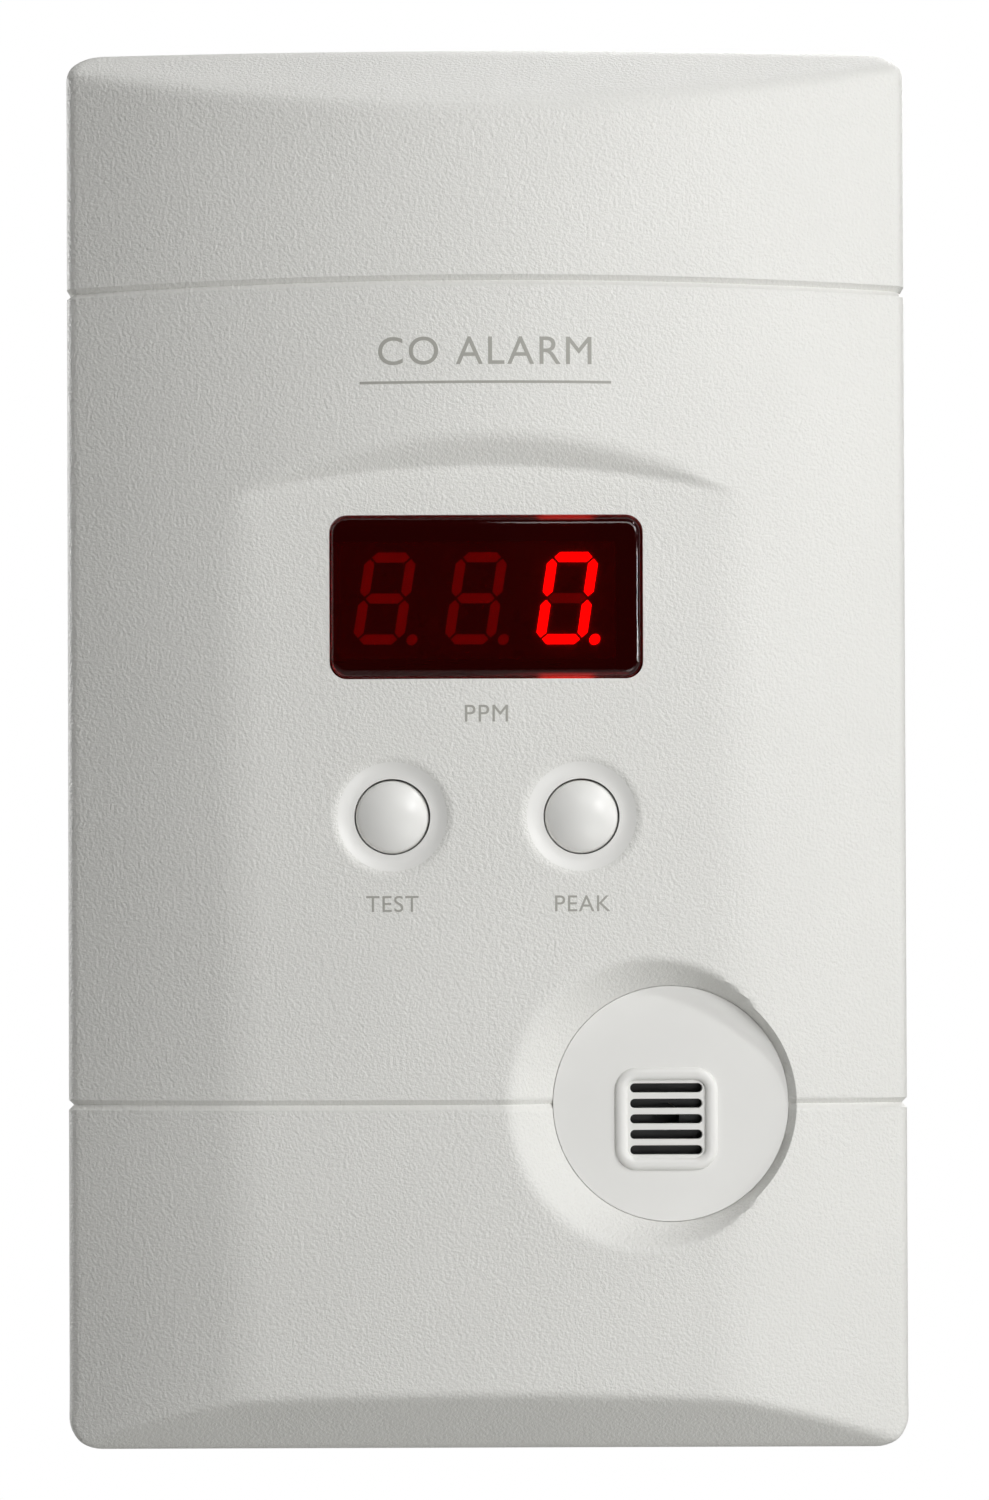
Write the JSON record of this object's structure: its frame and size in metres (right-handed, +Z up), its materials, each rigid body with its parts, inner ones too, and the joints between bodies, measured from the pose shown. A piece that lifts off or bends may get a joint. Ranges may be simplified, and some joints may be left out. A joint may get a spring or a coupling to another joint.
{
  "type": "carbon monoxide detector",
  "caption": "Plug-in carbon monoxide detector with a crowned rectangular case, a red digital display, push buttons, a round sound recess, a pull-out plug adapter and a back-up battery door.",
  "frame": {"origin": "centre of the flat back of the rear cover, where it meets the wall", "axes": "+Z up along the case's length, +X to the right seen from the front, the front faces -Y and the wall face looks along +Y"},
  "size_m": [0.0916, 0.0567, 0.1536],
  "materials": {
    "cover_plastic": "fine moulded texture",
    "smooth_plastic": "smooth",
    "lens_plastic": "polished tinted",
    "display_plastic": "tinted",
    "black_plastic": "moulded",
    "foam": "open-cell foam",
    "rubber": "moulded",
    "steel": "zinc plated",
    "brass": "plain",
    "blade_metal": "nickel-washed",
    "circuit_board": "solder resist",
    "capacitor_sleeve": "shrink sleeve",
    "battery_jacket": "plain jacket",
    "copper": "enamelled winding",
    "core_steel": "laminated",
    "plate_foil": "satin foil",
    "red_insulation": "extruded"
  },
  "bodies": {
    "housing": {"front_cover": "cover_plastic", "rear_cover": "cover_plastic", "rating_plate": "plate_foil", "vent_grille": "smooth_plastic", "display_lens": "lens_plastic", "display_module": "display_plastic", "display_holder": "smooth_plastic", "test_switch": "black_plastic", "peak_switch": "black_plastic", "sounder_body": "black_plastic", "sounder_cap": "black_plastic", "piezo_disc": "brass", "sounder_gasket": "foam", "co_sensor_can": "steel", "co_sensor_cap": "smooth_plastic", "main_pcb": "circuit_board", "microcontroller": "black_plastic", "capacitor_1": "capacitor_sleeve", "capacitor_2": "capacitor_sleeve", "battery_case": "battery_jacket", "battery_top": "black_plastic", "battery_stud_positive": "steel", "battery_stud_negative": "steel", "battery_snap": "black_plastic", "battery_lead_red": "red_insulation", "battery_lead_black": "black_plastic", "battery_door_pin": "steel", "power_lead_gland": "rubber", "case_screw_1": "steel", "case_screw_2": "steel", "case_screw_3": "steel", "case_screw_4": "steel", "pcb_screw_1": "steel", "pcb_screw_2": "steel"},
    "test_button": {"test_button": "smooth_plastic", "test_switch_plunger": "black_plastic"},
    "peak_button": {"peak_button": "smooth_plastic", "peak_switch_plunger": "black_plastic"},
    "battery_door": {"battery_door": "cover_plastic"},
    "adapter": {"adapter_case": "cover_plastic", "adapter_lid": "cover_plastic", "blade_left": "blade_metal", "blade_right": "blade_metal", "transformer_core": "core_steel", "transformer_coil": "copper"}
  },
  "joints": [
    {"name": "test_button_press", "type": "slide", "parent": "housing", "child": "test_button", "axis": [0, 1, 0], "range_m": [0, 0.0008], "stiffness_N_per_m": 250, "springref_m": -0.0004},
    {"name": "peak_button_press", "type": "slide", "parent": "housing", "child": "peak_button", "axis": [0, 1, 0], "range_m": [0, 0.0008], "stiffness_N_per_m": 250, "springref_m": -0.0004},
    {"name": "battery_door_hinge", "type": "hinge", "parent": "housing", "child": "battery_door", "pos_m": [0, -0.0015, -0.0399], "axis": [1, 0, 0], "range_deg": [0, 95]},
    {"name": "adapter_slide", "type": "slide", "parent": "housing", "child": "adapter", "axis": [0, 1, 0], "range_m": [0, 0.022]}
  ]
}
